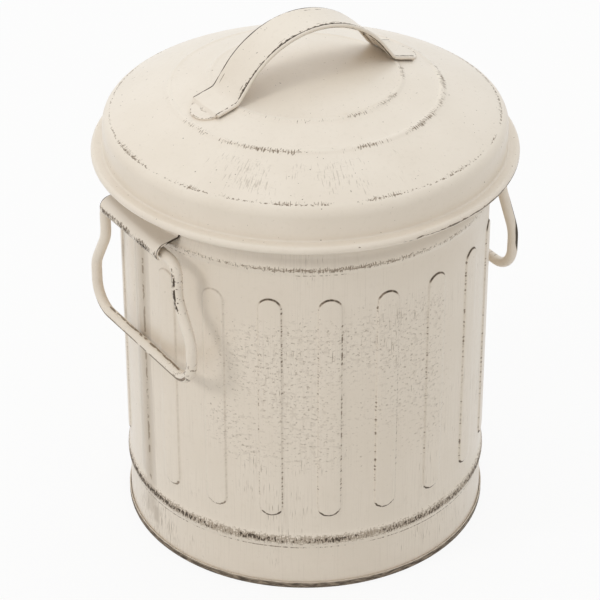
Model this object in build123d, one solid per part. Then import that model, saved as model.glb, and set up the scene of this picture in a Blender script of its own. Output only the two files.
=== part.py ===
from build123d import *
from math import asin, atan2, cos, degrees, radians, sin, sqrt, tan
import os

# Small painted sheet-metal bin with a lift-off domed lid, two drop handles and a strap handle.
# Millimetres, +Z up, origin in the middle of the circle that the bin stands on.
# The drop handles are on -X (left) and +X (right), and the lid's strap runs along X.

# Stock
sheet = 0.6            # body, pan and lid sheet
clip_sheet = 0.8       # folded handle clips
strap_sheet = 0.9      # lid strap, doubled where its edges are hemmed
handle_wire = 4.8      # drop handle wire, diameter
body_rim_core = 3.0    # wire in the body's rolled rim, diameter
lid_rim_core = 2.3     # wire in the lid's rolled rim, diameter

# Clearances
seat = 0.05            # between pieces that are riveted together
core_gap = 0.12        # between a rolled edge and the wire in it
pan_gap = 0.2          # between the wall and the pan that is locked in it
lid_gap = 0.3          # between the lid and the rim that it rests on
lid_play = 2.4         # sideways room between the body's rim and the lid's wall
hinge_play = 1.4       # between a handle's bar and the curl that holds it loosely
bar_rest = 0.1         # under the bar, where it lies in the curl
slide_play = 1.5       # between the end of a clip and the leg of a handle that has slid up to it

# Body
body_radius = 82.5     # outer face of the plain wall
body_height = 200.4    # top of the rolled rim
skirt_flare = 0.5      # how far the skirt opens towards the floor
hem_height = 3.2       # folded bottom edge
hem_proud = 0.9        # how far the folded edge stands out from the skirt
hem_round = 0.45
rim_curl_end = -80     # degrees below level where the rolled rim's sheet ends

base_bead_height = 26.0
base_bead_width = 8.0
base_bead_rise = 1.2
top_bead_drop = 31.7   # from the rim's top down to the top bead
top_bead_width = 8.2
top_bead_rise = 1.6

flute_count = 20
flute_width = 10.9
flute_over_base = 13.2  # from the base bead up to the flutes
flute_under_top = 15.9  # from the top bead down to the flutes
flute_rise = 0.75
flute_slope = 45       # degrees that a flute's sides lean
flute_root = 1.0       # how deep a flute's form starts under the wall's face
flute_turn = 10.4      # angle of the first flute from +X
seam_width = 7.0       # lapped side seam at the back, in the plain strip between two flutes
seam_steps = 4.5       # flutes from the first one to the seam

# Bottom pan
pan_corner = 2.4
pan_flange_bottom = 14.0
pan_floor_over_bead = 2.4
pan_panel_inset = 21.7  # from the pan's edge in to its raised panel
pan_panel_slope = 3.0
pan_panel_rise = 2.0

# Handle clips and drop handles
grip_gap = 0.75        # between the hanging handle and the flutes
hinge_drop = 2.9       # from the top bead down to the handle's bar
clip_half = 24.6       # half the clip's length
tongue_half = 15.0     # half the length of the tongue that is bent under the bar
clip_over_bead = 0.2   # between the top bead and the clip's flange
clip_flange_height = 13.0
lip_angle = -35        # degrees below level where the clip's full-length lip ends
tongue_angle = -130    # degrees below level where the tongue ends
leg_half = 31.0        # half the width between the legs under the bar, to the wire's centre
handle_half = 41.4     # half the width between the legs over the grip
flare_start = 16.3     # from the hinge down to where the legs turn outwards
flare_end = 34.3       # from the hinge down to where the legs turn plumb again
handle_drop = 56.0     # from the hinge down to the grip
bar_bend = 5.5
flare_bend = 14.0
grip_bend = 12.0

# Rivets
clench_width = 0.8     # clenched end, as a share of the head's width
clench_height = 0.6    # clenched end, as a share of the head's height
clip_rivet_turn = 11.0  # degrees either side of the clip's middle
clip_rivet_head = 5.2
clip_rivet_rise = 1.2
clip_rivet_shank = 3.0
strap_rivet_inset = 8.0  # from the end of the strap's foot
strap_rivet_head = 6.5
strap_rivet_rise = 1.7
strap_rivet_shank = 3.2
drill = 12.0           # length of the cutter for a rivet's hole

# Lid
dome_radius = 190.0
shoulder_radius = 5.5
lid_wall_drop = 9.35   # plain upright wall under the shoulder
cove_radius = 1.0
brim_width = 2.55      # level strip between the cove and the rolled edge
lid_curl_end = -190    # degrees, measured from level, where the lid's rolled edge ends
ring_radii = (42.0, 60.0)
ring_width = 3.6
ring_rise = 0.45

# Lid strap
strap_width = 21.0
strap_hem = 3.0
strap_rise = 22.85     # top of the strap over the top of the dome
strap_heel = 41.0      # from the bin's axis to the heel of each foot
strap_foot = 16.5
strap_leg_angle = 53   # degrees from level
heel_bend = 3.0

# Worked out from the values above
wall_inside = body_radius - sheet
top_bead_height = body_height - top_bead_drop
flute_bottom = base_bead_height + flute_over_base
flute_top = top_bead_height - flute_under_top
flute_pitch = 360 / flute_count
rim_curl_inside = body_rim_core / 2 + core_gap
rim_curl_outside = rim_curl_inside + sheet
rim_centre = (body_radius + rim_curl_inside, body_height - rim_curl_outside)
rim_outside = rim_centre[0] + rim_curl_outside

lid_wall_radius = rim_outside + lid_play + sheet
seat_reach = dome_radius - sheet - rim_curl_outside - lid_gap
dome_z = rim_centre[1] - sqrt(seat_reach**2 - rim_centre[0] ** 2)
lid_top = dome_z + dome_radius
shoulder_r = lid_wall_radius - shoulder_radius
dome_tilt = asin(shoulder_r / (dome_radius - shoulder_radius))
shoulder_z = dome_z + (dome_radius - shoulder_radius) * cos(dome_tilt)
brim_z = shoulder_z - lid_wall_drop - cove_radius
lid_curl_radius = lid_rim_core / 2 + core_gap + sheet
lid_rim_centre = (lid_wall_radius + cove_radius + brim_width, brim_z - lid_curl_radius)

strap_foot_end = strap_heel + strap_foot
strap_rivet_place = strap_foot_end - strap_rivet_inset

wire_radius = handle_wire / 2
hinge_radius = body_radius + flute_rise + grip_gap + wire_radius
hinge_height = top_bead_height - hinge_drop
handle_slide = leg_half - wire_radius - clip_half - slide_play
curl_inside = wire_radius + hinge_play
curl_outside = curl_inside + clip_sheet
curl_height = hinge_height + hinge_play - bar_rest
clip_back = body_radius + seat
clip_face = clip_back + clip_sheet
clip_flange_bottom = top_bead_height + top_bead_width / 2 + clip_over_bead
clip_flange_top = clip_flange_bottom + clip_flange_height
clip_rivet_height = clip_flange_bottom + clip_flange_height / 2


def on_circle(centre, radius, angle):
    """Point on a circle in a section, at an angle in degrees from level."""
    turn = radians(angle)
    return (centre[0] + radius * cos(turn), centre[1] + radius * sin(turn))


def arc_round(centre, radius, start, end):
    """Arc about a centre, through the angles start and end."""
    middle = (start + end) / 2
    points = [on_circle(centre, radius, angle) for angle in (start, middle, end)]
    return ThreePointArc(*points)


def bead_arc(face, rise, width, height, inset=0):
    """Bead pressed outwards in an upright wall; inset gives the bead of a piece nested inside it."""
    radius = ((width / 2) ** 2 + rise**2) / (2 * rise)
    centre = face + rise - radius
    nested = radius - inset
    half = sqrt(nested**2 - (face - inset - centre) ** 2)
    ends = [(face - inset, height - half), (face - inset, height + half)]
    return ThreePointArc(ends[0], (centre + nested, height), ends[1])


def joined(*runs):
    """Runs in order, with a straight line across each gap between them."""
    path = []
    for run in runs:
        if path and (path[-1] @ 1 - run @ 0).length > 1e-6:
            path.append(Line(path[-1] @ 1, run @ 0))
        path.append(run)
    return path


def turned_sheet(path, thickness, side):
    """Sheet of one thickness on one side of a section line, turned about the bin's axis."""
    line = Wire(path)
    outline = line.offset_2d(thickness, side=side, closed=True)
    return revolve(Plane.XZ * make_face(outline), Axis.Z)


def ring(inner, outer, bottom, top):
    """Upright ring between two radii."""
    height = top - bottom
    band = Cylinder(outer, height) - Cylinder(inner, height)
    return Pos(0, 0, (top + bottom) / 2) * band


def flute_plug(face):
    """Stadium with leaning sides that stands through a wall face, at the first flute."""
    spread = 2 * flute_root * tan(radians(flute_slope))
    middle = (flute_top + flute_bottom) / 2
    out = Plane(origin=(face - flute_root, 0, middle), x_dir=(0, 1, 0), z_dir=(1, 0, 0))
    stadium = SlotOverall(flute_top - flute_bottom + spread, flute_width + spread, rotation=90)
    plug = extrude(out * stadium, flute_root + 2 * flute_rise, taper=flute_slope)
    return plug & Pos(0, 0, body_height / 2) * Cylinder(face + flute_rise, body_height)


def rivet(head, rise, shank, grip):
    """Round-head rivet along +Z: its head starts at zero, and its clenched end is under the grip."""
    tail = -grip - clench_height * rise
    domed = head / 2
    clench = clench_width * domed
    stem = [(clench, tail), (clench, -grip), (shank / 2, -grip), (shank / 2, 0)]
    outline = Polyline((0, rise), (0, tail), *stem, (domed, 0))
    crown = RadiusArc((domed, 0), (0, rise), -(domed**2 + rise**2) / (2 * rise))
    return revolve(Plane.XZ * make_face([outline, crown]), Axis.Z)


def clip_rivet_places(side):
    """Where the two rivets of a clip stand: on the wall, pointing outwards."""
    middle = 180 if side < 0 else 0
    turns = [middle - clip_rivet_turn, middle + clip_rivet_turn]
    return [Rot(0, 0, turn) * Pos(clip_face + seat, 0, clip_rivet_height) * Rot(0, 90, 0) for turn in turns]


def body_wall():
    """Rolled sheet with two beads, a wired rim, a folded bottom edge and pressed flutes."""
    base = bead_arc(body_radius, base_bead_rise, base_bead_width, base_bead_height)
    top = bead_arc(body_radius, top_bead_rise, top_bead_width, top_bead_height)
    foot = body_radius + skirt_flare
    skirt = Line((foot, 0), (foot, hem_height))
    curl = arc_round(rim_centre, rim_curl_inside, 180, rim_curl_end)
    wall = turned_sheet(joined(skirt, base, top, curl), sheet, Side.LEFT)

    hem_middle = body_radius + skirt_flare + (hem_proud - sheet) / 2
    hem = Pos(hem_middle, hem_height / 2) * RectangleRounded(hem_proud + sheet, hem_height, hem_round)
    wall += revolve(Plane.XZ * hem, Axis.Z)

    seam_bottom = base_bead_height + base_bead_width / 2
    seam_top = top_bead_height - top_bead_width / 2
    strip = ring(body_radius - sheet / 2, body_radius + sheet, seam_bottom, seam_top)
    slab = Pos(body_radius, 0, body_height / 2) * Box(4 * sheet, seam_width, body_height)
    wall += Rot(0, 0, flute_turn + seam_steps * flute_pitch) * (strip & slab)

    turns = [Rot(0, 0, flute_turn + step * flute_pitch) for step in range(flute_count)]
    wall += [turn * flute_plug(body_radius) for turn in turns]
    wall -= [turn * flute_plug(wall_inside) for turn in turns]
    hole = Cylinder(clip_rivet_shank / 2 + seat, drill)
    return wall - [place * hole for side in (-1, 1) for place in clip_rivet_places(side)]


def bottom_pan():
    """Pressed floor whose flange is locked in the wall's base bead."""
    inset = sheet + pan_gap
    bead = bead_arc(body_radius, base_bead_rise, base_bead_width, base_bead_height, inset)
    edge = body_radius - inset
    floor = base_bead_height + base_bead_width / 2 + pan_floor_over_bead
    corner = arc_round((edge - pan_corner, floor - pan_corner), pan_corner, 0, 90)
    panel = floor + pan_panel_rise
    panel_edge = edge - pan_panel_inset
    rise = Line((panel_edge + pan_panel_slope, floor), (panel_edge, panel))
    flange = Line((edge, pan_flange_bottom), bead @ 0)
    middle = Line((panel_edge, panel), (0, panel))
    return turned_sheet(joined(flange, bead, corner, rise, middle), sheet, Side.LEFT)


def wire_ring(centre, diameter):
    """Wire ring that stiffens a rolled edge."""
    return Pos(0, 0, centre[1]) * Torus(centre[0], diameter / 2)


def handle_clip(side):
    """Sheet clip: a flange on the wall, a hood that leans out, and a curl round the handle's bar."""
    spread = degrees(asin(clip_half / clip_face))
    back = arc_round((0, 0), clip_back, -spread, spread)
    face = arc_round((0, 0), clip_face, spread, -spread)
    strip = make_face([back, Line(back @ 1, face @ 0), face, Line(face @ 1, back @ 0)])
    root = Pos(0, 0, clip_flange_bottom) * strip
    flange = extrude(root, clip_flange_top - clip_flange_bottom)

    across = hinge_radius - clip_face
    down = clip_flange_bottom - curl_height
    lean = atan2(across, down) + asin(curl_outside / sqrt(across**2 + down**2))
    tangent = degrees(lean)
    axis = (hinge_radius, curl_height)
    inner = on_circle(axis, curl_inside, tangent)
    outer = on_circle(axis, curl_outside, tangent)
    rim = [
        (inner[0], -clip_half, inner[1]),
        (inner[0], clip_half, inner[1]),
        (outer[0], clip_half, outer[1]),
        (outer[0], -clip_half, outer[1]),
    ]
    hood = loft([root, make_face(Polyline(*rim, close=True))], ruled=True)

    def curl(start, end, half):
        lip = [
            arc_round(axis, curl_inside, start, end),
            Line(on_circle(axis, curl_inside, end), on_circle(axis, curl_outside, end)),
            arc_round(axis, curl_outside, end, start),
            Line(on_circle(axis, curl_outside, start), on_circle(axis, curl_inside, start)),
        ]
        return extrude(Plane.XZ * make_face(lip), half, both=True)

    clip = flange + hood + curl(tangent, lip_angle, clip_half) + curl(lip_angle, tongue_angle, tongue_half)
    clip = Rot(0, 0, 180 if side < 0 else 0) * clip
    hole = Cylinder(clip_rivet_shank / 2 + seat, drill)
    return clip - [place * hole for place in clip_rivet_places(side)]


def clip_rivets(side):
    """Two rivets that hold a clip on the wall."""
    grip = clip_sheet + sheet + 3 * seat
    one = rivet(clip_rivet_head, clip_rivet_rise, clip_rivet_shank, grip)
    return Compound([place * one for place in clip_rivet_places(side)])


def drop_handle(side, slide):
    """Closed loop of bent wire that hangs plumb from its bar, which can slide in the clip."""
    right = [
        (leg_half, 0),
        (leg_half, -flare_start),
        (handle_half, -flare_end),
        (handle_half, -handle_drop),
    ]
    left = [(-x, z) for x, z in reversed(right)]
    bends = [bar_bend, flare_bend, flare_bend, grip_bend]
    outline = FilletPolyline(*right, *left, radius=bends + bends[::-1], close=True)
    hang = Plane(origin=(side * hinge_radius, slide, hinge_height), x_dir=(0, 1, 0), z_dir=(1, 0, 0))
    line = Wire((hang * outline).edges())
    start = Plane(origin=line @ 0, z_dir=line % 0)
    return sweep(start * Circle(wire_radius), path=line)


def lid_shell():
    """Spun lid: ringed dome, rounded shoulder, short wall, cove and wired brim."""

    def dome(angle, lift=0):
        return on_circle((0, dome_z), dome_radius + lift, 90 - angle)

    start = 0
    runs = []
    for radius in ring_radii:
        near, middle, far = [degrees(asin(r / dome_radius)) for r in
                             (radius - ring_width / 2, radius, radius + ring_width / 2)]
        runs.append(arc_round((0, dome_z), dome_radius, 90 - start, 90 - near))
        runs.append(ThreePointArc(dome(near), dome(middle, ring_rise), dome(far)))
        start = far
    tilt = degrees(dome_tilt)
    runs.append(arc_round((0, dome_z), dome_radius, 90 - start, 90 - tilt))
    runs.append(arc_round((shoulder_r, shoulder_z), shoulder_radius, 90 - tilt, 0))
    cove_centre = (lid_wall_radius + cove_radius, brim_z + cove_radius)
    runs.append(arc_round(cove_centre, cove_radius, 180, 270))
    runs.append(arc_round(lid_rim_centre, lid_curl_radius, 90, lid_curl_end))
    shell = turned_sheet(joined(*runs), sheet, Side.RIGHT)
    hole = Cylinder(strap_rivet_shank / 2 + seat, drill)
    return shell - [place * hole for place in strap_rivet_places()]


def strap_foot_line():
    """Tilt of the strap's flat feet and how far from the dome's centre their upper face is.

    The hems under a foot rest on the lid's inner ring.
    """
    tilt = asin(strap_rivet_place / dome_radius)
    across = sqrt(ring_radii[0] ** 2 - (strap_width / 2 - strap_hem) ** 2)
    up = sqrt(dome_radius**2 - ring_radii[0] ** 2)
    share = (sin(tilt) * across + cos(tilt) * up) / dome_radius
    return degrees(tilt), (dome_radius + ring_rise + seat) * share + 2 * strap_sheet


def strap_rivet_places():
    """Where the strap's two rivets stand: on its feet, square to the dome."""
    tilt, reach = strap_foot_line()
    return [Pos(0, 0, dome_z) * Rot(0, side * tilt, 0) * Pos(0, 0, reach + seat) for side in (-1, 1)]


def lid_strap_handle():
    """Bowed strap with hemmed edges and round-ended feet."""
    tilt, reach = strap_foot_line()
    touch = on_circle((0, dome_z), reach, 90 - tilt)

    def foot(x):
        return (x, touch[1] - (x - touch[0]) * tan(radians(tilt)))

    heel = foot(strap_heel)
    peak = (0, heel[1] + strap_heel * tan(radians(strap_leg_angle)))
    crest = lid_top + strap_rise
    arch = (peak[1] - crest) / (1 / cos(radians(strap_leg_angle)) - 1)
    end = foot(strap_foot_end)
    corners = [(-end[0], end[1]), (-heel[0], heel[1]), peak, heel, end]
    top_line = Wire(FilletPolyline(*corners, radius=[heel_bend, arch, heel_bend]).edges())

    def layer(thickness, half):
        section = make_face(top_line.offset_2d(thickness, side=Side.RIGHT, closed=True))
        return extrude(Plane.XZ * section, half, both=True)

    hems = layer(2 * strap_sheet, strap_width / 2) - layer(3 * strap_sheet, strap_width / 2 - strap_hem)
    strap = layer(strap_sheet, strap_width / 2) + hems
    plan = extrude(SlotOverall(2 * strap_foot_end, strap_width), lid_top + 2 * strap_rise)
    hole = Cylinder(strap_rivet_shank / 2 + seat, drill)
    return (strap & plan) - [place * hole for place in strap_rivet_places()]


def lid_handle_rivets():
    """Two rivets that hold the strap on the lid."""
    tilt, reach = strap_foot_line()
    grip = reach - dome_radius + sheet + 2 * seat
    one = rivet(strap_rivet_head, strap_rivet_rise, strap_rivet_shank, grip)
    return Compound([place * one for place in strap_rivet_places()])


nodes = {
    "body_wall": body_wall(),
    "bottom_pan": bottom_pan(),
    "body_rim_wire": wire_ring(rim_centre, body_rim_core),
    "left_handle_clip": handle_clip(-1),
    "right_handle_clip": handle_clip(1),
    "left_clip_rivets": clip_rivets(-1),
    "right_clip_rivets": clip_rivets(1),
    "left_handle": drop_handle(-1, -handle_slide),
    "right_handle": drop_handle(1, 0),
    "lid_shell": lid_shell(),
    "lid_rim_wire": wire_ring(lid_rim_centre, lid_rim_core),
    "lid_strap_handle": lid_strap_handle(),
    "lid_handle_rivets": lid_handle_rivets(),
}

os.makedirs("parts", exist_ok=True)
for name, shape in nodes.items():
    export_step(shape, f"parts/{name}.step")
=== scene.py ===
from math import asin, atan2, cos, pi, radians, sin, sqrt, tan

import bmesh
import bpy
from mathutils import Matrix, Vector


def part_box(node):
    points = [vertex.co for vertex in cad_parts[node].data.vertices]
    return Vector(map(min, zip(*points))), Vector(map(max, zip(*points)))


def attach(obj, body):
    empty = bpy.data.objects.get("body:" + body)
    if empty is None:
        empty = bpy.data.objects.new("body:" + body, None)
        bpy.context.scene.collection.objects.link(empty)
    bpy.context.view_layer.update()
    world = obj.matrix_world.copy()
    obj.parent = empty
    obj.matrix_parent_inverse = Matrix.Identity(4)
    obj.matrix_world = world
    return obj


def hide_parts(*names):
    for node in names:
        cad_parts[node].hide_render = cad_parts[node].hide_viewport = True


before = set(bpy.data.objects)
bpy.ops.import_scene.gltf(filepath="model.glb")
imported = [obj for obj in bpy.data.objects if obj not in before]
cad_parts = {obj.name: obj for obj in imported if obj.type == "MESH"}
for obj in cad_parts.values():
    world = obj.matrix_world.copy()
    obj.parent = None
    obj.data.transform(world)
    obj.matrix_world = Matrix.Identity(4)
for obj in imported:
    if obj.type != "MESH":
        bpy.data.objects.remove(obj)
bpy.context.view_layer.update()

# Body wall: one thin steel sheet, pressed flat with flutes and rolled into a cylinder. The seam, in
# the place of one flute, is under the left handle. Two beads stiffen it, its top edge is curled over
# a wire, its foot is folded outwards, and its cream paint is rubbed through on all that stands out.
mm = 0.001
sheet = 0.6 * mm
body_radius = 82.5 * mm
body_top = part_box("body_wall")[1].z

flute_places = 20        # one of them is the seam's
flute_pitch = 2 * pi / flute_places
first_flute = radians(190.4)
flute_half = 5.45 * mm
flute_bottom = 39.2 * mm
flute_top = 152.8 * mm
flute_rise = 0.75 * mm
flute_lean = radians(45)
flute_bend = 0.9 * mm
flute_ridge = 0.55 * flute_half
flute_ends = 16          # edges round each end of a flute
flute_sides = 12         # edges along each side

base_bead = 26.0 * mm
base_bead_half = 4.6 * mm
base_bead_rise = 1.2 * mm
top_bead = 168.7 * mm
top_bead_half = 4.6 * mm
top_bead_rise = 1.6 * mm
bead_fullness = 1.6
bead_rows = 14

skirt_flare = 0.5 * mm
hem_height = 3.2 * mm
hem_fold = 0.15 * mm
hem_lift = 0.03 * mm
neck = 12.0 * mm         # from the top bead up to the plain neck's last row
rim_curl = 1.62 * mm
rim_curl_end = -80

seam_half = 3.5 * mm
seam_slope = 0.4 * mm
seam_turn = radians(175.6)
seam_end = 0.1 * mm      # between the seam's ends and the beads
back_turn = radians(91.4)
hair = 0.01 * mm         # points closer than this are one point


def arc(centre, radius, start, end, steps):
    """Points on a circle in a section, from one angle in degrees to another."""
    turns = [radians(start + (end - start) * step / steps) for step in range(steps + 1)]
    return [(centre[0] + radius * cos(turn), centre[1] + radius * sin(turn)) for turn in turns]


def bead(place, half, rise, rows):
    """Points of a soft-edged bead from its upper end to its lower one, out from a plain wall."""
    shares = [1 - 2 * row / rows for row in range(rows + 1)]
    return [(rise * (1 - share**2) ** bead_fullness, place + half * share) for share in shares]


def drawn(bm, edges, place):
    """Draws a row of edges out once, puts its vertices where place says, and gives the new row."""
    made = bmesh.ops.extrude_edge_only(bm, edges=edges)["geom"]
    row = {part for part in made if isinstance(part, bmesh.types.BMVert)}
    for vert in row:
        vert.co = place(vert.co)
    return [part for part in made if isinstance(part, bmesh.types.BMEdge) and row.issuperset(part.verts)]


def spine_foot(co):
    """Nearest point of a flute's middle line, on the flat sheet."""
    low = flute_bottom + flute_half
    high = flute_top - flute_half
    return Vector((0, 0, min(max(co.z, low), high)))


def flute_outline(bm):
    """Closed outline of one flute on the flat sheet, which faces +X."""
    low = flute_bottom + flute_half
    high = flute_top - flute_half
    tip = bm.verts.new((0, flute_half, high))
    for end, step in ((high, low - high), (low, high - low)):
        spun = bmesh.ops.spin(bm, geom=[tip], cent=(0, 0, end), axis=(1, 0, 0), angle=pi, steps=flute_ends)
        tip = spun["geom_last"][0]
        for _ in range(flute_sides):
            tip = bmesh.ops.extrude_vert_indiv(bm, verts=[tip])["verts"][0]
            tip.co.z += step / flute_sides
    bmesh.ops.remove_doubles(bm, verts=bm.verts, dist=hair)
    return bm.edges[:]


def flute_bends():
    """How far in from a flute's outline, and how far out from the sheet, each bend of its edge is."""
    reach = flute_bend * tan(flute_lean / 2)
    turns = [flute_lean * share / 2 for share in range(3)]
    foot = [(flute_bend * sin(turn) - reach, flute_bend * (1 - cos(turn))) for turn in turns]
    return foot + [(flute_rise - inset, flute_rise - rise) for inset, rise in reversed(foot)]


def wall_panel():
    """One pitch of the wall on the flat: X is out from the sheet, Y along it and Z up."""
    bm = bmesh.new()
    strip = body_radius * flute_pitch / 2
    low = base_bead + base_bead_half
    high = top_bead - top_bead_half

    def inset(distance, rise):
        def place(co):
            foot = spine_foot(co)
            ray = Vector((0, co.y, co.z - foot.z)).normalized()
            return foot + ray * (flute_half - distance) + Vector((rise, 0, 0))
        return place

    def to_border(co):
        foot = spine_foot(co)
        side = 1 if co.y > 0 else -1
        turn = atan2(abs(co.z - foot.z), abs(co.y)) / (pi / 4)
        end = high if co.z > foot.z else low
        if turn <= 1:
            return Vector((0, side * strip, foot.z + (end - foot.z) * turn))
        return Vector((0, side * strip * (2 - turn), end))

    outline = flute_outline(bm)
    bends = flute_bends()
    for vert in bm.verts:
        vert.co = inset(*bends[0])(vert.co)
    row = outline
    for distance, rise in bends[1:]:
        row = drawn(bm, row, inset(distance, rise))
    row = drawn(bm, row, inset(flute_ridge, flute_rise))
    drawn(bm, row, inset(flute_half, flute_rise))

    border = drawn(bm, outline, to_border)
    ends = {vert for edge in border for vert in edge.verts}
    spokes = [edge for vert in ends for edge in vert.link_edges if edge not in border]
    bmesh.ops.subdivide_edges(bm, edges=spokes, cuts=2, use_grid_fill=True)
    bmesh.ops.remove_doubles(bm, verts=bm.verts, dist=hair)

    def edges_at(height):
        return [edge for edge in bm.edges if all(abs(vert.co.z - height) < hair for vert in edge.verts)]

    inset_mm = bm.verts.layers.float.new("flute_inset")
    side_mm = bm.verts.layers.float.new("flute_side")
    for vert in bm.verts:
        foot = spine_foot(vert.co)
        vert[inset_mm] = (flute_half - Vector((0, vert.co.y, vert.co.z - foot.z)).length) / mm
        vert[side_mm] = vert.co.y / mm

    fold = hem_fold + sheet + hem_lift
    hem_middle = (skirt_flare + hem_fold, fold)
    skirt_top = base_bead - base_bead_half
    skirt = [(skirt_flare * share, skirt_top + (hem_height - skirt_top) * share) for share in (0.5, 1)]
    hem = arc(hem_middle, hem_fold, 180, 360, 6) + [(hem_middle[0] + hem_fold, hem_height)]
    base = bead(base_bead, base_bead_half, base_bead_rise, bead_rows) + skirt + hem
    rim_centre = (rim_curl, body_top - rim_curl - sheet)
    top = bead(top_bead, top_bead_half, top_bead_rise, bead_rows)[::-1]
    top += [(0, top_bead + neck)] + arc(rim_centre, rim_curl, 180, rim_curl_end, 16)
    for profile in (base, top):
        row = edges_at(profile[0][1])
        for out, up in profile[1:]:
            row = drawn(bm, row, lambda co: Vector((out, co.y, up)))
    return bm


def face_out(bm, away):
    """Turns the faces of a skin to one side: on the whole, to the one that away points to."""
    bmesh.ops.recalc_face_normals(bm, faces=bm.faces)
    if sum(face.normal.dot(away(face.calc_center_median())) * face.calc_area() for face in bm.faces) < 0:
        bmesh.ops.reverse_faces(bm, faces=bm.faces)


def repeat_round(bm, turn, steps):
    """Repeats what a mesh holds round the bin's axis, a turn apart."""
    geom = bm.verts[:] + bm.edges[:] + bm.faces[:]
    bmesh.ops.spin(bm, geom=geom, axis=(0, 0, 1), angle=turn * steps, steps=steps, use_duplicate=True)


def roll_wall():
    """The flat panel rolled to the body's radius, repeated round to the seam and closed there."""
    bm = wall_panel()
    for vert in bm.verts:
        out, along, up = vert.co
        turn = first_flute + along / body_radius
        vert.co = ((body_radius + out) * cos(turn), (body_radius + out) * sin(turn), up)
    repeat_round(bm, flute_pitch, flute_places - 2)
    bmesh.ops.remove_doubles(bm, verts=bm.verts, dist=hair)

    def at_turn(vert, turn):
        along = Matrix.Rotation(-turn, 3, "Z") @ vert.co
        return along.x > 0 and abs(along.y) < hair

    here = first_flute - flute_pitch * 1.5      # where the last panel ends
    row = [edge for edge in bm.edges if all(at_turn(vert, here) for vert in edge.verts)]
    outer = (seam_half + seam_slope / 2) / body_radius
    inner = (seam_half - seam_slope / 2) / body_radius
    stops = [(-outer, 5), (-inner, 1), (inner, 2), (outer, 1), (first_flute - flute_pitch / 2 - seam_turn, 2)]
    for stop, steps in stops:
        step = Matrix.Rotation((seam_turn + stop - here) / steps, 3, "Z")
        for _ in range(steps):
            row = drawn(bm, row, lambda co: step @ co)
        here = seam_turn + stop
    bmesh.ops.remove_doubles(bm, verts=bm.verts, dist=hair)
    low = base_bead + base_bead_half + seam_end
    high = top_bead - top_bead_half - seam_end
    for vert in bm.verts:
        along = body_radius * atan2(*(Matrix.Rotation(-seam_turn, 2) @ vert.co.xy).yx)
        if abs(along) < seam_half and low < vert.co.z < high:
            vert.co.xy *= 1 + sheet / body_radius
    face_out(bm, lambda co: Vector((co.x, co.y, 0)))
    return bm


def shown(name, bm, *coats):
    """Object made from a mesh, with its materials."""
    mesh = bpy.data.meshes.new(name)
    bm.to_mesh(mesh)
    bm.free()
    for coat in coats:
        mesh.materials.append(coat)
    made = bpy.data.objects.new(name, mesh)
    bpy.context.scene.collection.objects.link(made)
    return made


def piece(name, bm, body, slot, node, *coats):
    """Smooth object with its coats, which rides on a body and stands for a node. The slot, a finish's name,
    is not used.
    """
    for face in bm.faces:
        face.smooth = True
    made = shown(name, bm, *coats)
    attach(made, body)
    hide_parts(node)
    return made


def thicken(made, thickness):
    """Gives a skin its sheet's thickness, behind the face; the back takes the second material."""
    wall = made.modifiers.new("sheet", "SOLIDIFY")
    wall.thickness = thickness
    wall.offset = -1
    wall.use_even_offset = True
    wall.use_quality_normals = True
    wall.material_offset = 1
    wall.material_offset_rim = 1


class Field:
    """A value that changes over a surface. Arithmetic on it adds nodes to its shader tree."""

    def __init__(self, socket):
        self.socket = socket
        self.tree = socket.id_data

    def math(self, operation, *others, clamp=False):
        node = self.tree.nodes.new("ShaderNodeMath")
        node.operation = operation
        node.use_clamp = clamp
        feed(node, enumerate((self, *others)))
        return Field(node.outputs[0])

    def __add__(self, other):
        return self.math("ADD", other)

    def __sub__(self, other):
        return self.math("SUBTRACT", other)

    def __mul__(self, other):
        return self.math("MULTIPLY", other)

    def __abs__(self):
        return self.math("ABSOLUTE")

    def over(self, other):
        """The larger of the two."""
        return self.math("MAXIMUM", other)

    def fade(self, start, end):
        """Eases from 0 at start to 1 at end."""
        node = self.tree.nodes.new("ShaderNodeMapRange")
        node.interpolation_type = "SMOOTHSTEP"
        high = max(start, end)
        low = min(start, end)
        feed(node, {"Value": self, "From Min": low, "From Max": high})
        rising = Field(node.outputs[0])
        return rising if end > start else rising * -1 + 1

    def near(self, place, reach, core=0.0):
        """1 within core of a place, easing to 0 at reach."""
        return abs(self - place).fade(reach, core)


def feed(node, values):
    """Sets or links a node's inputs, by name or number."""
    for key, value in dict(values).items():
        if isinstance(value, Field):
            node.id_data.links.new(value.socket, node.inputs[key])
        else:
            node.inputs[key].default_value = value


def new_group(name, inputs, outputs):
    """Empty shader group with its sockets made: its tree, its input fields and its output node."""
    tree = bpy.data.node_groups.new(name, "ShaderNodeTree")
    for socket, kind in inputs.items():
        tree.interface.new_socket(socket, in_out="INPUT", socket_type=f"NodeSocket{kind}")
    for socket, kind in outputs.items():
        tree.interface.new_socket(socket, in_out="OUTPUT", socket_type=f"NodeSocket{kind}")
    given = tree.nodes.new("NodeGroupInput")
    fields = [Field(given.outputs[socket]) for socket in inputs]
    return tree, fields, tree.nodes.new("NodeGroupOutput")


def placed(tree, group, values):
    """A group placed in a tree, with its inputs fed: its outputs as fields."""
    node = tree.nodes.new("ShaderNodeGroup")
    node.node_tree = bpy.data.node_groups[group]
    feed(node, values)
    return [Field(socket) for socket in node.outputs]


def parts(vector):
    """The three parts of a vector."""
    node = vector.tree.nodes.new("ShaderNodeSeparateXYZ")
    feed(node, {0: vector})
    return [Field(socket) for socket in node.outputs]


def noise(vector, scale, detail=2.0, roughness=0.5):
    """Soft noise from 0 to 1."""
    node = vector.tree.nodes.new("ShaderNodeTexNoise")
    feed(node, {"Vector": vector, "Scale": scale, "Detail": detail, "Roughness": roughness})
    return Field(node.outputs[0])


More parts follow.
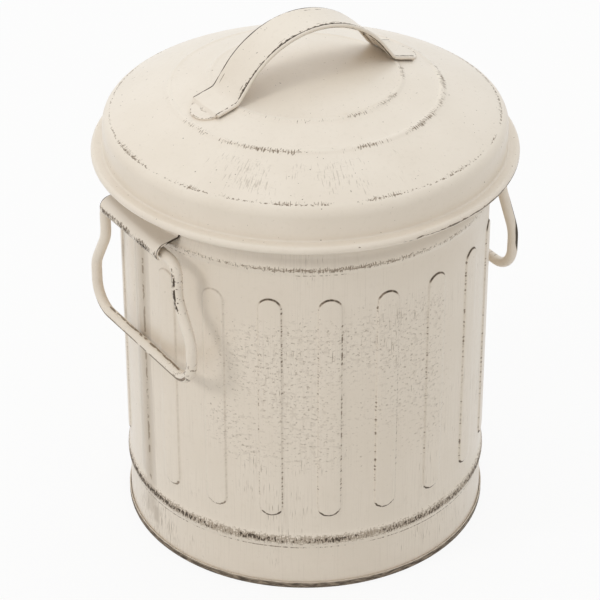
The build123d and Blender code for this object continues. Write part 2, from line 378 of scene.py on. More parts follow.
def vector_of(x, y, z):
    """A vector from three values, of which the first is a field."""
    node = x.tree.nodes.new("ShaderNodeCombineXYZ")
    feed(node, enumerate((x, y, z)))
    return Field(node.outputs[0])


def mix(factor, first, second):
    """Colour between two colours."""
    node = factor.tree.nodes.new("ShaderNodeMix")
    node.data_type = "RGBA"
    feed(node, {0: factor, 6: first, 7: second})
    return Field(node.outputs[2])


def make_unrolled():
    """Millimetres round the bin's axis, out from it and up, counted from the front, cut at the back."""
    inputs = {"Place": "Vector", "Radius": "Float"}
    outputs = dict.fromkeys(["Around", "Out", "Up"], "Float")
    tree, (place, radius), out = new_group("unrolled", inputs, outputs)
    turn = tree.nodes.new("ShaderNodeVectorRotate")
    turn.rotation_type = "Z_AXIS"
    feed(turn, {"Vector": place, "Angle": pi - back_turn})
    x, y, z = parts(Field(turn.outputs[0]))
    angle = y.math("ARCTAN2", x)
    feed(out, {"Around": angle * radius, "Out": (x * x + y * y).math("SQRT"), "Up": z})


def make_bristle_marks():
    """Streaks that a dry brush or a rubbing cloth leaves: more of them where the cover is higher."""
    inputs = ["Across", "Along", "Width", "Length", "Seed", "Cover"]
    tree, fields, out = new_group("bristle_marks", dict.fromkeys(inputs, "Float"), {"Marks": "Float"})
    across, along, width, length, seed, cover = fields
    streaks = vector_of(across.math("DIVIDE", width), along.math("DIVIDE", length), seed)
    grain = noise(streaks, 1.0, 2.0, 0.6)
    depth = grain + cover * 0.5 - 0.75
    feed(out, {"Marks": depth.fade(0.0, 0.15) * cover.fade(0.0, 0.12)})


cream_thick = (0.755, 0.668, 0.558, 1)
cream_thin = (0.785, 0.7, 0.592, 1)
cream_soiled = (0.68, 0.595, 0.485, 1)
undercoat_and_shade = (0.31, 0.24, 0.17, 1)
dark_steel_and_shade = (0.05, 0.034, 0.02, 1)
paint_relief = 0.05 * mm


def make_cream_coat():
    """Brushed cream paint that goes to a brown coat beneath, then dark steel, where it is rubbed through; it
    takes the same dark colours where a mask carries painted shade.
    """
    inputs = {"Place": "Vector", "Wear": "Float"}
    outputs = {"Color": "Color", "Roughness": "Float", "Height": "Float"}
    tree, (place, wear), out = new_group("cream_coat", inputs, outputs)
    cloud = noise(place, 0.03, 3.0)
    fine = noise(place, 0.45, 3.0)
    peel = noise(place, 0.9, 2.0)
    cream = mix(cloud.fade(0.3, 0.7), cream_thick, cream_thin)
    cream = mix(fine.fade(0.52, 0.8) * 0.3, cream, cream_soiled)
    # The dark colours here also serve for the painted shade that the wall's mask carries.
    worn_and_shaded = mix(wear.fade(0.35, 0.95), undercoat_and_shade, dark_steel_and_shade)
    color = mix(wear.fade(0.0, 0.55), cream, worn_and_shaded)
    feed(out, {
        "Color": color,
        "Roughness": fine * 0.16 + wear * 0.5 + 0.23,
        "Height": peel * 0.45 + fine * 0.25 - wear * 0.7,
    })


def new_material(name):
    """A material with an empty tree, and the tree."""
    material = bpy.data.materials.new(name)
    material.use_nodes = True
    material.node_tree.nodes.clear()
    return material, material.node_tree


def to_output(shader, output="ShaderNodeOutputMaterial"):
    """Links a shader to a new output of its tree."""
    last = shader.id_data.nodes.new(output)
    shader.id_data.links.new(shader.outputs[0], last.inputs["Surface"])


def painted(name, wear_and_shade_of):
    """Cream paint for one piece. The function it is given gives its wear, and on the wall some painted shade,
    from the place on it, in millimetres.
    """
    material, tree = new_material(name)
    place = place_in_mm(tree)
    wear = wear_and_shade_of(place)
    color, roughness, height = placed(tree, "cream_coat", {"Place": place, "Wear": wear})
    bump = tree.nodes.new("ShaderNodeBump")
    feed(bump, {"Strength": 1.0, "Distance": paint_relief, "Height": height})
    paint = tree.nodes.new("ShaderNodeBsdfPrincipled")
    feed(paint, {"Base Color": color, "Roughness": roughness, "Normal": Field(bump.outputs[0]), "IOR": 1.6})
    to_output(paint)
    return material


def place_in_mm(tree):
    """The place on the piece, in millimetres."""
    spot = tree.nodes.new("ShaderNodeTexCoord")
    scaled = tree.nodes.new("ShaderNodeVectorMath")
    scaled.operation = "SCALE"
    feed(scaled, {0: Field(spot.outputs["Object"]), "Scale": 1 / mm})
    return Field(scaled.outputs[0])


def bristles(across, along, width, length, seed, cover):
    """Bristle marks placed in a material."""
    sizes = {"Across": across, "Along": along, "Width": width, "Length": length}
    return placed(across.tree, "bristle_marks", {**sizes, "Seed": seed, "Cover": cover})[0]


def unrolled(place, radius):
    """Millimetres round the bin at a radius, out from its axis and up."""
    return placed(place.tree, "unrolled", {"Place": place, "Radius": radius / mm})


def attribute(tree, name, kind="Fac"):
    """A value, or a vector, kept on the mesh."""
    node = tree.nodes.new("ShaderNodeAttribute")
    node.attribute_name = name
    return Field(node.outputs[kind])


def towards(place, turn):
    """1 on the side of the bin's axis at this turn, -1 on the other."""
    x, y, _ = parts(place)
    reach = (x * x + y * y + 0.01).math("SQRT")
    return (x * cos(radians(turn)) + y * sin(radians(turn))).math("DIVIDE", reach)


def wall_wear_and_shade(place):
    """Marks on the wall's face: wear on bead crests and flute outlines, brushing and rubbing between, a
    brownish band beside the seam, and painted shade in the grooves under the beads and on the flutes' right
    sides.
    """
    tree = place.tree
    around, _, up = unrolled(place, body_radius)
    inset = attribute(tree, "flute_inset")
    patch = noise(vector_of(around * 0.025, up * 0.004, 3.0), 1.0, 2.0)
    cloud = noise(place, 0.03, 2.0)

    wear = bristles(around, up, 0.5, 30.0, 27.0, cloud.fade(0.2, 0.8) * 0.35 + 0.3) * 0.1
    crest = top_bead / mm - 0.8
    front = towards(place, 235).fade(0.3, 0.98) * 0.35 + 0.4
    top = up.near(crest, 3.4, 0.1) * (patch.fade(0.3, 0.6) * 0.25 + front)
    wear = wear.over(bristles(around, up, 0.6, 3.0, 1.0, top * 0.66) * 0.55)
    top = up.near(crest, 2.2, 0.2) * (patch.fade(0.26, 0.56) * 0.25 + front)
    wear = wear.over(bristles(around, up, 2.4, 0.7, 3.0, top * 0.66) * 0.5)
    # A broken brown line in the groove under the top bead: painted shade, where the bead overhangs it.
    crease_shade = up.near((top_bead - top_bead_half) / mm + 0.6, 0.7, 0.1) * cloud.fade(0.3, 0.6)
    wear = wear.over(bristles(around, up, 1.6, 2.0, 4.0, crease_shade * 0.7) * 0.4)

    base = up.near(base_bead / mm + 0.7, 5.0, 0.6)
    wear = wear.over(bristles(around, up, 1.8, 0.7, 6.0, base * 0.76) * 0.36)
    wear = wear.over(bristles(around, up, 0.5, 5.0, 5.0, base * 0.66) * 0.42)
    base = up.near(base_bead / mm + 0.6, 2.6, 0.5) * (patch.fade(0.36, 0.56) * 0.4 + 0.6)
    wear = wear.over(bristles(around, up, 0.8, 2.4, 7.0, base * 0.78) * 0.85)
    # A broken dark line in the groove under the base bead: painted shade, where the bead overhangs it.
    crease_shade = up.near((base_bead - base_bead_half) / mm + 0.7, 0.7, 0.1) * cloud.fade(0.3, 0.55)
    wear = wear.over(bristles(around, up, 1.6, 2.0, 9.0, crease_shade * 0.8) * 0.55)
    skirt = up.fade(hem_height / mm, hem_height / mm + 6) * up.fade(base_bead / mm, base_bead / mm - 7)
    wear = wear.over(bristles(around, up, 0.5, 9.0, 11.0, skirt * cloud.fade(0.35, 0.7) * 0.5) * 0.35)

    spared = towards(place, 185).fade(0.7, 0.95) * -0.75 + 1
    broken = noise(vector_of(around * 0.5, up * 0.5, 12.0), 1.0, 2.0).fade(0.3, 0.6) * 0.45 + 0.55
    high = up.fade(flute_top / mm - 4.5, flute_top / mm - 1.5)
    low = up.fade(flute_bottom / mm + 5.0, flute_bottom / mm + 1.5)
    wear = wear.over(inset.near(0.35, 0.62, 0.05) * high * broken * spared * 0.95)
    ends = bristles(around, up, 1.4, 1.4, 15.0, inset.near(0.4, 1.0, 0.2) * low)
    wear = wear.over(ends * (spared * 0.5 + 0.5) * 0.8)
    wear = wear.over(inset.near(0.35, 0.7, 0.1) * broken * 0.15)
    # Side lines come out a little stronger on each flute's right side than on its left: that difference is
    # painted shade, as if lit from the left, on top of the wear.
    right = attribute(tree, "flute_side").fade(-2.0, 2.0) * 0.12 + 0.88
    chance = noise(vector_of(around * 0.12, up * 0.03, 19.0), 1.0, 2.0).fade(0.35, 0.6) * 0.35 + 0.65
    sides = inset.near(0.3, 0.8, 0.1) * (high.over(low) * -1 + 1) * chance * right
    wear = wear.over(bristles(around, up, 4.0, 1.1, 17.0, sides * 0.62) * spared * 0.65)

    seam = body_radius / mm * (seam_turn - back_turn - pi)
    # A brownish band of streaks beside the seam, and a brownish smudge low down beside it.
    beside = around.near(seam + 3.0, 10.5, 2.0) * up.fade(8, 14)
    wear = wear.over(bristles(around, up, 1.2, 40.0, 13.0, beside * 1.1) * beside * 0.22)
    smudge = around.near(seam + 7.5, 4.5, 1.0) * up.near(14.0, 7.5, 3.0)
    wear = wear.over(smudge * (cloud * 0.3 + 0.7) * 0.3)
    lap = around.near(seam + seam_half / mm, 0.7, 0.1) * up.fade(24, 30) * up.fade(165, 155)
    wear = wear.over(bristles(around, up, 2.0, 5.0, 14.0, lap * 0.68) * 0.42)

    band = up.fade(44, 75) * up.fade(162, 135) * abs(towards(place, 246)).fade(0.6, 0.85)
    rubbed = band * (cloud.fade(0.25, 0.6) * 0.4 + 0.6)
    wear = wear.over(bristles(around, up, 2.8, 1.9, 23.0, rubbed * 0.54) * 0.16)
    wear = wear.over(bristles(around, up, 1.7, 1.3, 21.0, rubbed * 0.44) * 0.33)
    return wear.over(bristles(around, up, 0.4, 12.0, 25.0, cloud.fade(0.42, 0.7) * 0.34) * 0.6)


def edge_wear(place):
    """Wear on the back of the wall's sheet: bare on the folded foot, rubbed on the curled rim."""
    around, out, up = unrolled(place, body_radius)
    outside = out.fade((body_radius + skirt_flare) / mm + 0.2, (body_radius + skirt_flare) / mm + 0.6)
    foot = up.fade(hem_height / mm + 0.3, hem_height / mm - 0.5) * outside
    streaks = noise(vector_of(around * 0.25, up * 0.9, 31.0), 1.0, 3.0)
    bare = foot * (streaks.fade(0.3, 0.7) * 0.4 + 0.5)
    rim = up.fade(body_top / mm - 1.0, body_top / mm - 0.2)
    return bare.over(bristles(around, out, 2.0, 3.0, 33.0, rim * 0.46) * 0.45)


make_unrolled()
make_bristle_marks()
make_cream_coat()
wall_coats = painted("wall_face", wall_wear_and_shade), painted("wall_back", edge_wear)
body = piece("body_sheet", roll_wall(), "bin", "painted_sheet", "body_wall", *wall_coats)
thicken(body, sheet)

# Bottom pan: a pressed floor of the same sheet, pushed up the wall from below and locked where
# the base bead is rolled over its flange. A raised panel keeps the floor from drumming.
pan_edge = 81.7 * mm
pan_foot = 14.0 * mm
pan_floor = 32.4 * mm
pan_corner = 2.4 * mm
pan_panel = 60.0 * mm
pan_slope = 3.0 * mm
pan_rise = 2.0 * mm
pan_follow = 0.9         # how far the pan is rolled into the wall's bead, as a share of it
turn_steps = 200


def turned(points, steps):
    """Skin made by turning a section line about the bin's axis; it faces up and out."""
    bm = bmesh.new()
    verts = [bm.verts.new((out, 0, up)) for out, up in points]
    line = [bm.edges.new(pair) for pair in zip(verts, verts[1:])]
    bmesh.ops.spin(bm, geom=verts + line, axis=(0, 0, 1), angle=2 * pi, steps=steps, use_merge=True)
    bmesh.ops.remove_doubles(bm, verts=bm.verts, dist=hair)
    face_out(bm, lambda co: Vector((co.x, co.y, points[0][1])))
    return bm


def pan_wear(place):
    """The pan is hardly touched: a few rubbed spots on its panel's edge."""
    around, out, _ = unrolled(place, pan_panel)
    rise = out.near((pan_panel + pan_slope / 2) / mm, 3.0, 0.5)
    return bristles(around, out, 3.0, 1.5, 41.0, rise * 0.48) * 0.3


lock = bead(base_bead, base_bead_half, base_bead_rise * pan_follow, bead_rows)[::-1]
lock = [(pan_edge + out, up) for out, up in lock]
corner = arc((pan_edge - pan_corner, pan_floor - pan_corner), pan_corner, 0, 90, 6)
panel = [(pan_panel + pan_slope, pan_floor), (pan_panel, pan_floor + pan_rise), (0, pan_floor + pan_rise)]
pan_line = [(pan_edge, pan_foot)] + lock + corner + panel
pan_coat = painted("pan_coat", pan_wear)
pan_skin = turned(pan_line, turn_steps)
pan = piece("floor_pan", pan_skin, "bin", "painted_sheet", "bottom_pan", pan_coat, pan_coat)
thicken(pan, sheet)

# Rim wires: rings of bare, hard-drawn steel wire. The top edge of the wall is curled over one and the
# brim of the lid over the other, so that little of them shows.
wire_grey = (0.42, 0.41, 0.39, 1)
wire_rust = (0.2, 0.12, 0.07, 1)


def bare_steel(name):
    """Drawn steel with die lines and a little rust."""
    material, tree = new_material(name)
    place = place_in_mm(tree)
    around, out, up = unrolled(place, body_radius)
    lines = noise(vector_of(around * 0.03, out * 6.0, up * 6.0), 1.0, 3.0)
    rust = noise(place, 0.2, 4.0).fade(0.55, 0.75)
    steel = tree.nodes.new("ShaderNodeBsdfPrincipled")
    feed(steel, {
        "Base Color": mix(rust, wire_grey, wire_rust),
        "Metallic": rust * -0.8 + 1.0,
        "Roughness": lines * 0.3 + rust * 0.3 + 0.25,
    })
    to_output(steel)
    return material


core_steel = bare_steel("core_steel")
for name in ("body_rim_wire", "lid_rim_wire"):
    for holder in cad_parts[name].material_slots:
        holder.material = core_steel

# Handle clips: two folded straps of thicker sheet, riveted to the wall under the lid's brim. Each
# leans out as a hood over its handle's bar, curls down in front of it and passes a tongue below it.
clip_sheet = 0.8 * mm
clip_face = 83.35 * mm
clip_half = 24.6 * mm
tongue_half = 15.0 * mm
clip_top = 186.0 * mm
clip_bend = 173.0 * mm
clip_rows = (182.0 * mm, 177.0 * mm, 173.8 * mm)
clip_columns = 6         # in half the tongue, and on each side of it
curl_axis = (86.4 * mm, 167.1 * mm)
curl_outside = 4.6 * mm
curl_start = 71.2
lip_end = -35
tongue_end = -130
clip_edge = 0.15 * mm


def clip_skin():
    """Outer face of the right clip, drawn down from the flange's top edge."""
    bm = bmesh.new()
    shares = [(step + 1) / clip_columns for step in range(clip_columns)]
    half = [0] + [tongue_half * share for share in shares]
    half += [tongue_half + (clip_half - tongue_half) * share for share in shares]
    ys = [-y for y in half[:0:-1]] + half

    def on_wall(y, up):
        return Vector((sqrt(clip_face**2 - y**2), y, up))

    verts = [bm.verts.new(on_wall(y, clip_top)) for y in ys]
    row = [bm.edges.new(pair) for pair in zip(verts, verts[1:])]
    for up in clip_rows:
        row = drawn(bm, row, lambda co: on_wall(co.y, up))
    start = arc(curl_axis, curl_outside, curl_start, curl_start, 1)[0]
    for share in (0.08, 0.3, 0.55, 0.8, 1.0):
        foot = clip_bend + (start[1] - clip_bend) * share
        row = drawn(bm, row, lambda co: on_wall(co.y, foot).lerp(Vector((start[0], co.y, foot)), share))
    for out, up in arc(curl_axis, curl_outside, curl_start, lip_end, 12)[1:]:
        row = drawn(bm, row, lambda co: Vector((out, co.y, up)))
    row = [edge for edge in row if all(abs(vert.co.y) < tongue_half + hair for vert in edge.verts)]
    for out, up in arc(curl_axis, curl_outside, lip_end, tongue_end, 12)[1:]:
        row = drawn(bm, row, lambda co: Vector((out, co.y, up)))
    face_out(bm, lambda co: Vector((1, 0, 0)))
    return bm


def soften(made, width):
    """Takes the sharpness off cut edges."""
    bevel = made.modifiers.new("soft_edges", "BEVEL")
    bevel.width = width
    bevel.segments = 2
    bevel.limit_method = "ANGLE"
    bevel.angle_limit = radians(40)
    bevel.use_clamp_overlap = True


def clip_wear(place):
    """Scratches across the curl's lower edge, rubbed ends and a few specks on the hood."""
    _, y, up = parts(place)
    lip = (curl_axis[1] + curl_outside * sin(radians(lip_end))) / mm
    patch = noise(place, 0.12, 2.0)
    scratches = up.near(lip + 2.0, 3.6, 0.8) * (patch.fade(0.3, 0.55) * 0.4 + 0.6)
    wear = bristles(y, up, 0.6, 2.5, 51.0, scratches * 0.72) * 0.75
    blots = up.near(lip + 1.6, 2.0, 0.4) * patch.fade(0.35, 0.6)
    wear = wear.over(bristles(y, up, 1.4, 1.2, 54.0, blots * 0.8) * 0.9)
    edge = up.near(lip, 0.7, 0.2) * (patch.fade(0.3, 0.5) * 0.4 + 0.6)
    wear = wear.over(bristles(y, up, 1.6, 1.0, 52.0, edge) * 0.95)
    ends = abs(y).fade(clip_half / mm - 0.7, clip_half / mm - 0.2)
    wear = wear.over(bristles(up, y, 2.0, 2.0, 53.0, ends * 0.9))
    return wear.over(bristles(y, up, 1.1, 0.9, 55.0, patch.fade(0.5, 0.75) * 0.4) * 0.5)


def bare_inside(place):
    """The clip's inner face, rubbed by the bar."""
    _, y, up = parts(place)
    return bristles(y, up, 1.5, 6.0, 57.0, noise(place, 0.1, 2.0).fade(0.3, 0.6) * 0.9)


clip_coats = painted("clip_face", clip_wear), painted("clip_back", bare_inside)
for side, turn in (("right", 0), ("left", pi)):
    bm = clip_skin()
    bmesh.ops.rotate(bm, verts=bm.verts, matrix=Matrix.Rotation(turn, 3, "Z"))
    clip = piece(f"{side}_clip", bm, "bin", "painted_clip", f"{side}_handle_clip", *clip_coats)
    thicken(clip, clip_sheet)
    soften(clip, clip_edge)

# Clip rivets: two soft steel rivets hold each clip's flange to the wall. Their low heads are
# outside, under the brim, and their shanks are clenched flat inside the bin.
clip_rivet_head = 2.6 * mm
clip_rivet_rise = 1.2 * mm
clip_rivet_shank = 1.5 * mm
clip_rivet_turn = radians(11)
clip_rivet_height = 179.5 * mm
clench_lip = 0.8 * mm
clench_height = 0.6 * mm


def rivet(head, rise, shank, grip):
    """One rivet on the axis, its head's seat at height 0 and its clenched end below."""
    shares = [step / 8 for step in range(9)]
    dome = [(head * share, rise * (1 - share**2) ** bead_fullness) for share in shares]
    clench = shank + clench_lip
    end = [(shank, 0), (shank, -grip), (clench, -grip), (clench * 0.8, -grip - clench_height * 0.8)]
    return turned(dome + end + [(0, -grip - clench_height)], 32)


def rivet_wear(place):
    """Rubbed specks."""
    return noise(place, 0.9, 3.0).fade(0.56, 0.7) * 0.8


rivet_coat = painted("rivet_coat", rivet_wear)
for side, turn in (("right", 0), ("left", pi)):
    bm = rivet(clip_rivet_head, clip_rivet_rise, clip_rivet_shank, clip_face - body_radius + sheet)
    lean = Matrix.Rotation(pi / 2, 4, "Y")
    seat = Matrix.Translation((clip_face, 0, clip_rivet_height)) @ lean
    bmesh.ops.transform(bm, matrix=Matrix.Rotation(turn - clip_rivet_turn, 4, "Z") @ seat, verts=bm.verts)
    repeat_round(bm, 2 * clip_rivet_turn, 1)
    bmesh.ops.recalc_face_normals(bm, faces=bm.faces)
    piece(f"{side}_clip_rivet_pair", bm, "bin", "painted_rivet", f"{side}_clip_rivets", rivet_coat)

# Drop handles: two closed loops of steel wire, bent in a jig, butt-welded and painted. The straight
# bar at the top of each turns in its clip; the left one has slid a little to the front.
wire_radius = 2.4 * mm
hinge_out = 86.4 * mm
hinge_up = 165.8 * mm
grip_drop = 56.0 * mm
leg_half = 31.0 * mm
grip_half = 41.4 * mm
flare_start = 16.3 * mm
flare_end = 34.3 * mm
handle_corners = [(leg_half, 0), (leg_half, -flare_start), (grip_half, -flare_end), (grip_half, -grip_drop)]
handle_bends = [5.5 * mm, 14.0 * mm, 14.0 * mm, 12.0 * mm]
left_slide = -2.5 * mm
wire_sides = 24
bend_step = radians(7)


def bent_wire():
    """The closed loop in the plane of Y and Z, bent corner by corner from the middle of its bar."""
    bm = bmesh.new()
    corners = [Vector(corner) for corner in handle_corners]
    corners += [Vector((-corner.x, corner.y)) for corner in reversed(corners)]
    bends = handle_bends + handle_bends[::-1]
    lay = Matrix.Rotation(pi / 2, 4, "X")
    bmesh.ops.create_circle(bm, segments=wire_sides, radius=wire_radius, matrix=lay)
    row = bm.edges[:]
    here = Vector((0, 0))
    for index, (corner, bend) in enumerate(zip(corners, bends)):
        heading = (corner - here).normalized()
        ahead = (corners[(index + 1) % len(corners)] - corner).normalized()
        turn = -heading.angle_signed(ahead)
        cut = bend * tan(abs(turn) / 2)
        entry = corner - heading * cut
        row = drawn(bm, row, lambda co: co + Vector((0, *(entry - here))))
        inside = Vector((-heading.y, heading.x)) * (bend if turn > 0 else -bend)
        steps = max(3, round(abs(turn) / bend_step))
        spun = bmesh.ops.spin(
            bm, geom=row, cent=(0, *(entry + inside)), axis=(1, 0, 0), angle=turn, steps=steps
        )
        row = [part for part in spun["geom_last"] if isinstance(part, bmesh.types.BMEdge)]
        here = corner + ahead * cut
    drawn(bm, row, lambda co: co - Vector((0, *here)))
    bmesh.ops.remove_doubles(bm, verts=bm.verts, dist=hair)
    bmesh.ops.recalc_face_normals(bm, faces=bm.faces)
    bm.normal_update()
    facing = bm.verts.layers.float_vector.new("facing")
    for vert in bm.verts:
        vert[facing] = vert.normal
    return bm


def handle_wear(place):
    """Thin lines rubbed along the wire's sides, scratches at the bend under the clip, and small chips."""
    x, y, up = parts(place)
    face_x, face_y, face_up = parts(attribute(place.tree, "facing", "Vector"))
    outward = face_x * x * (mm / hinge_out)
    drop = up - hinge_up / mm
    grip = drop.fade(-grip_drop / mm + 6, -grip_drop / mm + 3)
    leg = drop.fade(-grip_drop / mm + 3, -grip_drop / mm + 8) * drop.fade(-2, -6)
    front = y.fade(15, -15) * 0.75 + 0.25
    patch = noise(place, 0.06, 2.0)
    left = x.fade(10, -10)
    used = grip * (left * 0.8 + 0.2)
    under = (outward * 0.94 - face_up * 0.34).fade(0.93, 0.985) * used
    wear = bristles(y, x, 5.0, 2.0, 61.0, under) * 0.55
    above = (face_up * 0.98 - outward * 0.2).fade(0.9, 0.98) * used * (patch.fade(0.3, 0.5) * 0.4 + 0.6)
    wear = wear.over(bristles(y, x, 4.0, 2.0, 62.0, above * 0.8) * 0.55)
    side = (outward * 0.84 + face_y * 0.55).fade(0.9, 0.98) * leg * front
    wear = wear.over(bristles(up, y, 5.0, 2.0, 63.0, side * 0.62) * 0.8)
    bend = drop.near(-12, 13, 6) * y.fade(-15, -28) * left
    lines = (outward * 0.84 + face_y * 0.55).fade(0.85, 0.96)
    lines = lines.over((outward * 0.95 - face_y * 0.3).fade(0.94, 0.985))
    wear = wear.over(bristles(up, y, 3.0, 2.0, 64.0, bend * lines * 0.74) * 0.9)
    wear = wear.over(noise(place, 0.9, 2.0).fade(0.62, 0.67) * bend * 0.8)
    outer = outward * 0.84 - face_y * 0.55 + drop.near(-37, 9, 2) * 0.4
    knocked = outer.fade(0.82, 0.92) * drop.near(-33, 15, 8) * y.fade(0, -20) * (left * -1 + 1)
    wear = wear.over(knocked * 0.95)
    foot = drop.fade(-grip_drop / mm + 16, -grip_drop / mm + 4) * y.fade(-25, -36) * left
    chips = noise(place, 0.55, 3.0, 0.6).fade(0.57, 0.62) * foot
    wear = wear.over(chips * 0.9)
    return wear.over(bristles(up, y, 0.9, 0.9, 65.0, front * patch.fade(0.4, 0.7) * 0.36) * 0.4)


handle_coat = painted("handle_coat", handle_wear)
for side, sign, slide in (("right", 1, 0), ("left", -1, left_slide)):
    bm = bent_wire()
    bmesh.ops.translate(bm, verts=bm.verts, vec=(sign * hinge_out, slide, hinge_up))
    handle = f"{side}_handle"
    piece(f"{side}_drop_handle", bm, handle, "painted_wire", handle, handle_coat)

# Lid: a disc of sheet spun to a low dome with two stiffening rings, a rounded shoulder, a short wall
# and a flat brim whose edge is curled over its wire. It lies loose on the bin's rim.
dome_radius = 190.0 * mm
dome_centre = 31.303 * mm
ring_radii = (42.0 * mm, 60.0 * mm)
ring_half = 1.8 * mm
ring_rise = 0.45 * mm
shoulder_radius = 5.5 * mm
shoulder_centre = (83.84 * mm, 195.65 * mm)
dome_tilt = 27.0
cove = 1.0 * mm
brim_width = 2.55 * mm
lid_wall = shoulder_centre[0] + shoulder_radius
brim_up = 185.3 * mm
brim_curl = 1.87 * mm
brim_curl_end = -190
lid_rest = 84.5 * mm


def dome_point(out):
    """Point of the dome's upper face, with the pressed rings on it."""
    shares = [min(abs(out - ring) / ring_half, 1) for ring in ring_radii]
    rise = sum(ring_rise * (1 - share**2) ** bead_fullness for share in shares)
    return out, dome_centre + sqrt(dome_radius**2 - out**2) + rise


def lid_line():
    """Section of the lid's upper face, from the middle to the end of the curl."""
    line = [dome_point(ring_radii[0] * 0.93 * step / 8) for step in range(8)]
    for ring, after in zip(ring_radii, (ring_radii[1], dome_radius * sin(radians(dome_tilt)))):
        line += [dome_point(ring + ring_half * step / 6) for step in range(-6, 7)]
        gap = after - ring_half - (ring + ring_half)
        line += [dome_point(ring + ring_half + gap * step / 5) for step in range(1, 5)]
    line += arc(shoulder_centre, shoulder_radius, 90 - dome_tilt, 0, 10)
    line += arc((lid_wall + cove, brim_up + cove), cove, 180, 270, 5)
    return line + arc((lid_wall + cove + brim_width, brim_up - brim_curl), brim_curl, 90, brim_curl_end, 20)


def lid_wear(place):
    """Wear on the lid: broken lines and ticks on the rings, the shoulder and the brim's edge."""
    around, out, up = unrolled(place, ring_radii[1])
    handled = towards(place, 275).fade(-0.7, 0.6) * 0.6 + 0.4
    patch = noise(vector_of(around * 0.06, out * 0.03, 7.0), 1.0, 2.0)
    wear = noise(place, 0.8, 2.0).fade(0.73, 0.77) * 0.6
    for ring, strength in zip(ring_radii, (0.85, 1.0)):
        line = out.near(ring / mm + 0.6, 0.8, 0.1) * (patch.fade(0.34, 0.58) * 0.6 + 0.4) * handled
        wear = wear.over(bristles(around, out, 1.0, 0.8, 71.0 + strength, line * strength * 0.68) * 0.45)
        ticks = out.near(ring / mm + 0.4, 3.2, 0.1) * (patch.fade(0.3, 0.6) * 0.6 + 0.4) * handled
        wear = wear.over(bristles(around, out, 0.6, 3.0, 73.0 + strength, ticks * strength * 0.64) * 0.6)
    edge = shoulder_centre[0] / mm + 2.0
    line = out.near(edge, 1.1, 0.15) * (patch.fade(0.34, 0.6) * 0.5 + 0.5)
    wear = wear.over(bristles(around, out, 0.9, 0.9, 77.0, line * 0.66) * 0.6)
    ticks = out.near(edge - 0.5, 3.0, 0.2) * patch.fade(0.38, 0.6)
    wear = wear.over(bristles(around, out, 0.35, 3.5, 79.0, ticks * 0.52) * 0.45)
    front = towards(place, 237).fade(0.6, 0.95) * 0.7 + 0.3
    field = out.fade(61, 67) * out.fade(87, 80) * noise(place, 0.07, 3.0).fade(0.25, 0.6) * front
    wear = wear.over(bristles(around, out, 0.6, 5.0, 81.0, field * 0.52) * 0.24)
    wear = wear.over(bristles(around, out, 2.5, 0.6, 82.0, field * 0.46) * 0.15)
    brim = (lid_wall + cove + brim_width + brim_curl) / mm
    line = out.near(brim, 0.35, 0.1) * up.fade(brim_up / mm - 1.2, brim_up / mm - 2.0)
    line *= towards(place, 312).fade(0.4, 0.9)
    return wear.over(bristles(around, up, 3.0, 0.8, 83.0, line * 0.85) * 0.7)


def lid_inside(place):
    """The lid's underside: a few rubs where it rests on the rim."""
    around, out, _ = unrolled(place, body_radius)
    rest = out.near(lid_rest / mm, 3.0, 0.4)
    wear = bristles(around, out, 3.0, 1.0, 85.0, rest * 0.5) * 0.4
    return wear.over(noise(place, 0.5, 3.0).fade(0.7, 0.78) * 0.5)


lid_coats = painted("lid_face", lid_wear), painted("lid_back", lid_inside)
lid = piece("lid_sheet", turned(lid_line(), turn_steps), "lid", "painted_sheet", "lid_shell", *lid_coats)
thicken(lid, sheet)

# Lid strap: a strip of sheet with both long edges hemmed flat underneath, bowed to a grip with two
# feet. Past the hems the feet end in single round tongues that lie on the lid and are riveted to it.
strap_sheet = 0.8 * mm
strap_stack = 1.8 * mm
strap_flat = 9.6 * mm
strap_fold = 0.9 * mm
hem_inner = 7.5 * mm
hem_pressed = 0.2 * mm
strap_crest = 244.15 * mm
strap_leg = radians(53)
strap_tilt = radians(15.1)
heel_out = 41.0 * mm
heel_bend = 3.0 * mm
foot_reach = 191.97 * mm
hem_end = 51.0 * mm
tongue_tip = 57.5 * mm
tongue_steps = 10
strap_stations = 72
strap_edge = 0.12 * mm


def strap_bow():
    """Lengths along the half strap's top line from its crest to the ends of bow, leg and heel."""
    touch = foot_reach * sin(strap_tilt), dome_centre + foot_reach * cos(strap_tilt)
    heel = touch[1] + (touch[0] - heel_out) * tan(strap_tilt)
    peak = heel + heel_out * tan(strap_leg)
    bow = (peak - strap_crest) / (1 / cos(strap_leg) - 1)
    cut = heel_bend * tan((strap_leg - strap_tilt) / 2)
    leg = heel_out / cos(strap_leg) - bow * tan(strap_leg) - cut
    return bow, bow * strap_leg, leg, heel_bend * (strap_leg - strap_tilt)


def bend_strap(co):
    """Takes a point of the flat strip, long in X with its face up, to its place on the bowed strap."""
    bow, bow_length, leg_length, heel_length = strap_bow()
    side = 1 if co.x > 0 else -1
    rest = abs(co.x)
    part = min(rest, bow_length)
    slope = part / bow
    spot = Vector((bow * sin(slope), strap_crest - bow * (1 - cos(slope))))
    rest -= part
    part = min(rest, leg_length)
    spot += Vector((cos(slope), -sin(slope))) * part
    rest -= part
    part = min(rest, heel_length)
    turn = part / heel_bend
    spot += Vector((sin(slope) - sin(slope - turn), cos(slope) - cos(slope - turn))) * heel_bend
    slope -= turn
    rest -= part
    spot += Vector((cos(slope), -sin(slope))) * rest
    spot += Vector((sin(slope), cos(slope))) * co.z
    return Vector((side * spot.x, co.y, spot.y))


def strap_girth(y, z):
    """How far a point of the strip's section is round it from the middle of its top face."""
    if abs(y) > strap_flat:
        reach = strap_flat + strap_fold * atan2(abs(y) - strap_flat, z + strap_fold)
    elif z > -strap_fold * 1.5:
        reach = abs(y)
    else:
        reach = strap_flat + strap_fold * pi + strap_flat - abs(y)
    return reach if y > 0 else -reach


